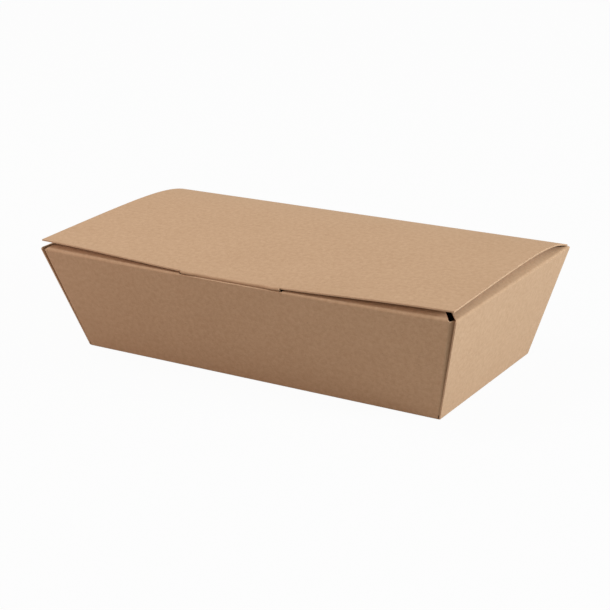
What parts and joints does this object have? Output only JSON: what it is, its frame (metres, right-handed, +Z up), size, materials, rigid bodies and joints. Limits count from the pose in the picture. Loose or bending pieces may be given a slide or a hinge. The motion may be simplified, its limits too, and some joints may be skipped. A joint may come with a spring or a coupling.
{
  "type": "takeaway box",
  "caption": "Flared kraft board food box with a hinged lid, tuck tab, and inward rim flanges along the front and ends.",
  "frame": {"origin": "middle of the flat underside of the base", "axes": "+X along the length, -Y towards the front wall with the tab slot, +Z up"},
  "size_m": [0.2592, 0.1321, 0.066],
  "materials": {
    "kraft_board": "matt uncoated brown kraft with a fine fibre mottle"
  },
  "bodies": {
    "tray": {"tray": "kraft_board"},
    "lid": {"lid": "kraft_board"}
  },
  "joints": [
    {"name": "lid_hinge", "type": "hinge", "parent": "tray", "child": "lid", "pos_m": [0, 0.06418, 0.06], "axis": [-1, 0, 0], "range_deg": [0, 180]}
  ]
}
